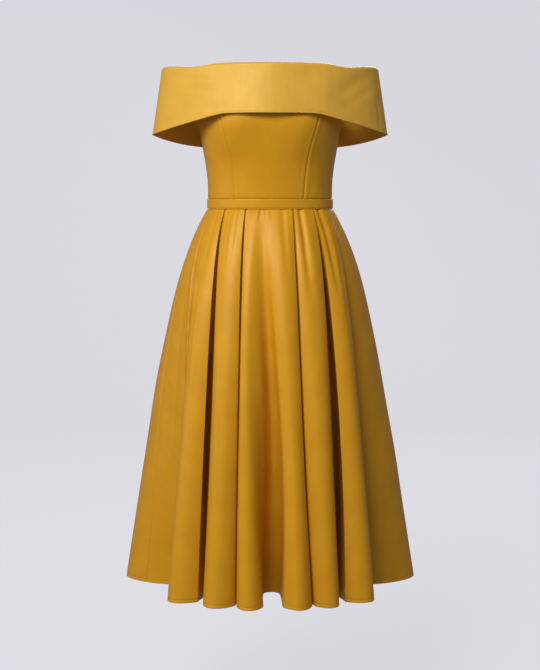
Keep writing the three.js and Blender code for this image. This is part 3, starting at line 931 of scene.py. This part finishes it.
def seam_relief(points):
    """How far in each point of a panel lies because of the seams beside it."""
    across = run_along(points, 0)
    near = np.minimum(across, across[-1] - across)
    up = run_along(points, 1)
    low = np.minimum(up, up[:, -1:] - up)
    z = points[..., 2]
    side_curl = PRESSED["side"] * CURL * bell(near / CURL_WIDE)
    end_curl = PRESSED["end"] * CURL * bell(low / CURL_WIDE)
    ridge = RIDGE["high"] * bell((near - RIDGE["at"]) / RIDGE["wide"])
    wave = np.sin(2 * math.pi * z / PUCKER["every"] + 1.7 * np.sin(z / 31))
    return side_curl + end_curl - ridge + PUCKER["deep"] * wave * np.exp(-near / PUCKER["reach"])


# %% Bodice panels
def princess(side):
    return lambda z: princess_turn(side, z)


def straight_seam(turn):
    return lambda z: np.full(np.shape(z), float(turn))


BODICE_PANELS = {
    "bodice_front": (princess("right"), princess("left"), 90),
    "bodice_side_left": (princess("left"), straight_seam(90), 56),
    "bodice_side_right": (straight_seam(-90), princess("right"), 56),
    "bodice_back_left": (straight_seam(90), straight_seam(180), 70),
    "bodice_back_right": (straight_seam(180), straight_seam(270), 70),
}
for name, (from_turn, to_turn, steps) in BODICE_PANELS.items():
    turn, z = bodice_grid(from_turn, to_turn, steps)
    relief = seam_relief(bodice_point(turn, z, 0))
    outer = bodice_point(turn, z, relief)
    sew(name, outer, bodice_point(turn, z, relief + BODICE_CLOTH), satin)

# %% [markdown]
# ## Waistband
# The waistband is a doubled strip that stands slightly proud of the bodice and the skirt, so its two long
# edges are rounded in and its middle is crowned.

# %% Waistband
BAND = {"half": 122.4, "front": 94.5, "back": 88.5, "square": 2.2}
BAND_CLOTH = 1.5
BAND_ROWS = 19
BAND_CROWN = 0.2
BAND_EDGE = {"deep": 0.6, "wide": 0.8}
BAND_LINE = {"deep": 0.5, "z": -8.2, "wide": 0.9}  # the sewn line above the lower edge
BAND_TUCK = {"deep": 0.25, "z": 3.6, "wide": 1.4}  # a soft crease that comes and goes round the band
BAND_PANELS = {
    "waistband_front": (-90, 90, 120),
    "waistband_back_left": (90, 180, 60),
    "waistband_back_right": (180, 270, 60),
}


def band_relief(turn, z):
    edge = BAND_EDGE["deep"] * bell((BAND_HEIGHT / 2 - np.abs(z)) / BAND_EDGE["wide"])
    line = BAND_LINE["deep"] * bell((z - BAND_LINE["z"]) / BAND_LINE["wide"])
    tuck = BAND_TUCK["deep"] * bell((z - BAND_TUCK["z"]) / BAND_TUCK["wide"])
    comes = smooth(np.sin(np.radians(3.1 * turn)) + 0.4)
    return edge + line - BAND_CROWN * (1 - (2 * z / BAND_HEIGHT) ** 2) + tuck * comes


for name, (start, end, steps) in BAND_PANELS.items():
    half_gap = math.degrees(STITCHED / 2 / BAND["back"])
    turn = mix(start + half_gap, end - half_gap, eased(steps + 1))[:, None]
    z = mix(-BAND_HEIGHT / 2, BAND_HEIGHT / 2, eased(BAND_ROWS))[None, :]
    turn, z = np.broadcast_arrays(turn, z)
    relief = band_relief(turn, z)
    outer = np.stack([*ring_point(BAND, turn, relief), z], axis=-1)
    inner = np.stack([*ring_point(BAND, turn, relief + BAND_CLOTH), z], axis=-1)
    sew(name, outer, inner, satin)

# %% [markdown]
# ## Collar
# The collar is a wide band that is folded over along its top. Its fall stands round the shoulders and hides
# the top of the bodice, and its facing goes down inside. Seen from the side it is one line: up the fall,
# over a soft roll and a little way down. Its lower edge has a narrow rolled hem, which shows as a thin
# light line.

# %% Collar sizes
COLLAR_FOLD = {"half": 209.5, "front": 117.2, "back": 106.2, "square": 1.75}
COLLAR_EDGE = {"half": 228, "front": 131, "back": 112, "square": 1.7}
COLLAR = {"top": 262, "dip": 5.5, "dip_at": 150, "dip_wide": 34, "roll": 6, "facing": 17}
FRONT_EDGE = {"z": 168, "level": 90, "tip": 133, "ease": 9}
BACK_EDGE = {"z": 110, "tip": 133, "power": 4}
COLLAR_CLOTH = 1.2
COLLAR_STEPS = 150
FALL_ROWS = 44
ROLL_ROWS = 14
FACING_ROWS = 6
ROLLED_HEM = 1.3  # radius of the rolled hem

# Creases in the collar's fall, as soft troughs. x and z are where one starts, x_end and z_end where it ends,
# wide is its half width and deep its depth, all in millimetres. A negative depth is a ridge.
FRONT_CREASES = table(
    "x z x_end z_end wide deep",
    (-176, 236, -128, 232, 9, 2),
    (-168, 219, -112, 214, 9, 2),
    (-120, 182, -96, 172, 10, 1),
    (-196, 176, -150, 196, 9, 1.4),
    (112, 256, 102, 176, 30, -4.2),
    (196, 246, 132, 206, 14, 2.6),
    (200, 226, 150, 186, 9, 1.6),
    (207, 196, 211, 140, 5, 2),
    (196, 178, 199, 146, 5, 1.2),
    (60, 244, 84, 232, 9, 1),
)
BACK_CREASES = table(
    "x z x_end z_end wide deep",
    (-170, 232, -120, 200, 9, 1.8),
    (180, 228, 118, 204, 8, 1.8),
    (-60, 250, -20, 238, 8, 0.9),
    (84, 190, 124, 160, 12, 1.2),
    (-140, 170, -90, 146, 12, 1.4),
)


# %% Collar curves
def fold_height(x):
    return COLLAR["top"] - COLLAR["dip"] * bell((np.abs(x) - COLLAR["dip_at"]) / COLLAR["dip_wide"])


def front_edge_height(x):
    slope = (FRONT_EDGE["z"] - FRONT_EDGE["tip"]) / (COLLAR_EDGE["half"] - FRONT_EDGE["level"])
    past = np.abs(x) - FRONT_EDGE["level"]
    return FRONT_EDGE["z"] - slope * (past + np.hypot(past, FRONT_EDGE["ease"])) / 2


def back_edge_height(x):
    reach = np.abs(x) / COLLAR_EDGE["half"]
    return BACK_EDGE["z"] + (BACK_EDGE["tip"] - BACK_EDGE["z"]) * reach ** BACK_EDGE["power"]


def crease_depth(creases, x, z):
    """How far in the creases push the cloth at x, z."""
    deep = np.zeros_like(x)
    for crease in creases:
        run = np.array([crease["x_end"] - crease["x"], crease["z_end"] - crease["z"]], float)
        length = np.linalg.norm(run)
        run /= length
        along = (x - crease["x"]) * run[0] + (z - crease["z"]) * run[1]
        off = ((x - crease["x"]) * run[1] - (z - crease["z"]) * run[0]) / crease["wide"]
        fade = bell((along / length - 0.5) * 1.7)
        deep += crease["deep"] * fade * (bell(off) - 0.35 * bell(off / 2.4))
    return deep

# %% Collar sections
BEND = 0.55  # how far up the fall its rows stop crowding towards the hem
HEM_BEAD = {"out": 0.8, "in": 0.24}  # how far each face of the rolled hem swells, as shares of its radius
HEM_SINK = {"deep": 0.4, "above": 0.6, "wide": 0.8}  # the sewn line above the rolled hem


def collar_rows():
    """For each row: how far it is up the fall, round the roll or down the facing."""
    low = eased(2 * FALL_ROWS)[:FALL_ROWS]
    high = np.linspace(BEND, 1, FALL_ROWS // 2)[1:]
    roll = np.linspace(0, 180, ROLL_ROWS + 2)[1:-1]
    return np.concatenate([low / low[-1] * BEND, high]), roll, np.linspace(0, 1, FACING_ROWS)


def hem_swell(above, shows):
    """How far in the collar's face lies near its rolled hem, at a height above the edge."""
    bead = ROLLED_HEM * np.sqrt(np.maximum(1 - ((above - ROLLED_HEM) / ROLLED_HEM) ** 2, 0))
    bead = np.where(above < 2 * ROLLED_HEM, bead, 0)
    sink = HEM_SINK["deep"] * bell((above - 2 * ROLLED_HEM - HEM_SINK["above"]) / HEM_SINK["wide"])
    return sink + bead * (-HEM_BEAD["out"] if shows else HEM_BEAD["in"])


def collar_grid(start, end, depth, creases):
    """Points of half of the collar. depth 0 is the face that shows."""
    turn = mix(start, end, eased(COLLAR_STEPS + 1))[:, None]
    ahead = math.cos(math.radians((start + end) / 2)) > 0
    shift = (-1 if ahead else 1) * STITCHED / 2
    fold_x, _ = ring_point(COLLAR_FOLD, turn)
    edge_x, _ = ring_point(COLLAR_EDGE, turn)
    top = fold_height(fold_x)
    edge = front_edge_height(edge_x) if ahead else back_edge_height(edge_x)
    shoulder = top - COLLAR["roll"]
    fall, roll, facing = collar_rows()

    def part(ring, inset, z):
        x, y = ring_point(ring, turn, inset)
        return np.stack([x, y + shift, z], axis=-1)

    t = fall[None, :]
    ring = ring_between(COLLAR_EDGE, COLLAR_FOLD, t)
    z = mix(edge, shoulder, t)
    x, _ = ring_point(ring, turn)
    in_by = crease_depth(creases, x, z) * smooth((z - edge) / 12)
    fall_part = part(ring, in_by + hem_swell(z - edge, depth == 0) + depth, z)
    radius = COLLAR["roll"] - depth
    a = np.radians(roll)[None, :]
    roll_inset = COLLAR["roll"] - radius * np.cos(a) + in_by[:, -1:] * np.cos(a / 2) ** 2
    roll_part = part(COLLAR_FOLD, roll_inset, shoulder + radius * np.sin(a))
    down = mix(shoulder, top - COLLAR["facing"], facing[None, :])
    facing_part = part(COLLAR_FOLD, np.full_like(down, COLLAR["roll"] + radius), down)
    return np.concatenate([fall_part, roll_part, facing_part], axis=1)

# %% Collar halves
SHORT = 0.01
COLLAR_HALVES = {
    "collar_front": (-90 + SHORT, 90 - SHORT, FRONT_CREASES),
    "collar_back": (90 + SHORT, 270 - SHORT, BACK_CREASES),
}
for name, (start, end, creases) in COLLAR_HALVES.items():
    outer = collar_grid(start, end, 0, creases)
    # the collar is drawn in the lighter satin copy, whose colours are painted sheen
    sew(name, outer, collar_grid(start, end, COLLAR_CLOTH, creases), collar_satin_painted_sheen)

# %% [markdown]
# ## Zip
# A concealed zip closes the centre back, on the inside of the cloth, from the top of the bodice to the
# hips. Its tape is one thin woven strip that follows the inside of the seam. Its coil is a nylon spiral
# along the tape: one flattened ring with few faces, repeated by an Array modifier, because there are
# hundreds.

# %% Zip tape
ZIP = {"top": 236, "bottom": -200, "half": 12, "thick": 0.8, "clear": 1.7, "rows": 110, "curve": 90}


def back_inside(z):
    """How far back from the axis the inside of the cloth lies at the centre back, at height z."""
    bodice = column(BODICE, "back", np.maximum(z, BODICE[0]["z"])) - BODICE_CLOTH
    seam = skirt_inner[seams["back"]][::-1]
    skirt = np.interp(z, seam[:, 2], seam[:, 1])
    return mix(skirt, bodice, smooth((z + BAND_HEIGHT / 2) / BAND_HEIGHT))


def tape_face(x, z, depth):
    return np.stack([x, back_inside(z) - ZIP["clear"] - x**2 / (2 * ZIP["curve"]) - depth, z], axis=-1)


tape_across = np.linspace(ZIP["half"], -ZIP["half"], 13)
tape_up = np.linspace(ZIP["bottom"], ZIP["top"], ZIP["rows"])
tape_x, tape_z = np.meshgrid(tape_across, tape_up, indexing="ij")
tape_outer = tape_face(tape_x, tape_z, 0)
tape = make_shell("zip_tape_strip", tape_outer, tape_face(tape_x, tape_z, ZIP["thick"]), tape_weave)
stand_for(tape, "zip")

# %% Zip coil
COIL = {"half": 2.1, "wire": 0.42, "flat": 0.55, "pitch": 1.6, "tilt": 14}
COIL_TURNS = int((ZIP["top"] - ZIP["bottom"] - 4) / COIL["pitch"])

bpy.ops.object.select_all(action="DESELECT")
bpy.ops.mesh.primitive_torus_add(
    major_segments=10,
    minor_segments=5,
    major_radius=COIL["half"] * MM,
    minor_radius=COIL["wire"] * MM,
    location=(0, 0, (ZIP["top"] - 2) * MM),
    rotation=(math.radians(COIL["tilt"]), 0, 0),
)
coil = bpy.context.object
coil.name = "zip_coil_spiral"
coil.scale = (1, COIL["flat"], 1)
bpy.ops.object.transform_apply(location=True, rotation=True, scale=True)
turns = coil.modifiers.new("turns", "ARRAY")
turns.use_relative_offset = False
turns.use_constant_offset = True
turns.constant_offset_displace = (0, 0, -COIL["pitch"] * MM)
turns.count = COIL_TURNS
bpy.ops.object.modifier_apply(modifier="turns")
coil_depth = ZIP["clear"] + ZIP["thick"] + COIL["half"] * COIL["flat"]
for v in coil.data.vertices:
    v.co.y += (float(back_inside(v.co.z / MM)) - coil_depth) * MM
bpy.ops.object.shade_smooth()
coil.data.materials.append(coil_nylon)
stand_for(coil, "zip")
print("coil turns:", COIL_TURNS, "faces:", len(coil.data.polygons))

# %% [markdown]
# ## The sheets
# Here the pieces of cloth are only counted. The skirt's panels are laid into pleats at the waistband, the
# collar is folded over, and the bodice and the waistband are fitted smooth.


print(len(panels) + 1, "sheets declared")

# %% [markdown]
# ## Floor and backdrop
# A pale sweep: a floor that curves up into a wall, so that no line shows behind the dress. The paper glows
# by itself and is seen by the camera only, so it is equally pale all over and puts no colour on the cloth.

# %% Backdrop
FLOOR_Z = -1.05
SWEEP = {"wide": 14, "front": -6, "back": 3.6, "high": 5, "bend": 1.6}
NEAR = 0.01
PAPER_LOOK = {"Roughness": 0.9, "Emission Color": linear(PAPER_GLOW), "Emission Strength": 0.915}

bpy.ops.object.select_all(action="DESELECT")
bpy.ops.mesh.primitive_plane_add(size=1, location=(0, (SWEEP["front"] + SWEEP["back"]) / 2, FLOOR_Z))
sweep = bpy.context.object
sweep.name = "backdrop"
sweep.scale = (SWEEP["wide"], SWEEP["back"] - SWEEP["front"], 1)
bpy.ops.object.transform_apply(location=True, rotation=True, scale=True)


def select_edges(wanted):
    """Selects the edges of the sweep whose two ends are both wanted."""
    bpy.ops.mesh.select_all(action="DESELECT")
    form = bmesh.from_edit_mesh(sweep.data)
    for edge in form.edges:
        edge.select_set(all(wanted(v.co) for v in edge.verts))
    bmesh.update_edit_mesh(sweep.data)


bpy.ops.object.mode_set(mode="EDIT")
select_edges(lambda p: p.y > SWEEP["back"] - NEAR)
bpy.ops.mesh.extrude_region_move(TRANSFORM_OT_translate={"value": (0, 0, SWEEP["high"])})
select_edges(lambda p: abs(p.y - SWEEP["back"]) < NEAR and abs(p.z - FLOOR_Z) < NEAR)
bpy.ops.mesh.bevel(offset=SWEEP["bend"], segments=24)
bpy.ops.object.mode_set(mode="OBJECT")
bpy.ops.object.shade_smooth()

sweep.data.materials.append(make_speckled("seamless_paper_matt", PAPER, 1 / 9, PAPER_LOOK))
sweep.visible_diffuse = False
sweep.visible_glossy = False
print("backdrop faces:", len(sweep.data.polygons))

# %% [markdown]
# ## Light
# One softbox high in front, a little to the left, is the key. A smaller and lower one is set where the
# slanted collar mirrors it to the camera, which gives the collar its pale shine, on top of the painted sheen
# in the collar's lighter satin colours. A weak one on the right keeps the shade side warm, one far on the
# left draws the left edge of each fold, one behind lights the back, and a pale sky fills the rest.

# %% Lights
SKY_STRENGTH = 0.26
LIGHTS = table(
    "name at aim size watts",
    ("key", (-0.9, -2.5, 1.8), (0, 0, 0), 1.2, 64),
    ("collar_light", (-1.75, -2.0, 1.25), (0, 0, 0.2), 1.1, 24),
    ("fill", (2.4, -2.2, 0.2), (0, 0, -0.2), 1.4, 3),
    ("side_light", (-2.5, -0.7, 0.1), (0, 0, -0.45), 0.8, 6.5),
    ("back_light", (0.8, 2.7, 1.7), (0, 0, 0), 1.6, 48),
)


def add_light(name, at, aim, size, watts):
    bpy.ops.object.light_add(type="AREA", location=at)
    lamp = bpy.context.object
    lamp.name = name
    lamp.data.energy = watts
    lamp.data.size = size
    toward = [a - b for a, b in zip(aim, at)]
    flat = math.hypot(toward[0], toward[1])
    lamp.rotation_euler = (math.atan2(flat, -toward[2]), 0, math.atan2(toward[1], toward[0]) - math.pi / 2)


for light in LIGHTS:
    add_light(**light)

world = bpy.data.worlds.new("studio")
bpy.context.scene.world = world
world.use_nodes = True
sky = world.node_tree.nodes["Background"]
sky.inputs["Color"].default_value = linear(SKY)
sky.inputs["Strength"].default_value = SKY_STRENGTH
bpy.context.scene.view_settings.view_transform = "Standard"
print(len(LIGHTS), "lights")
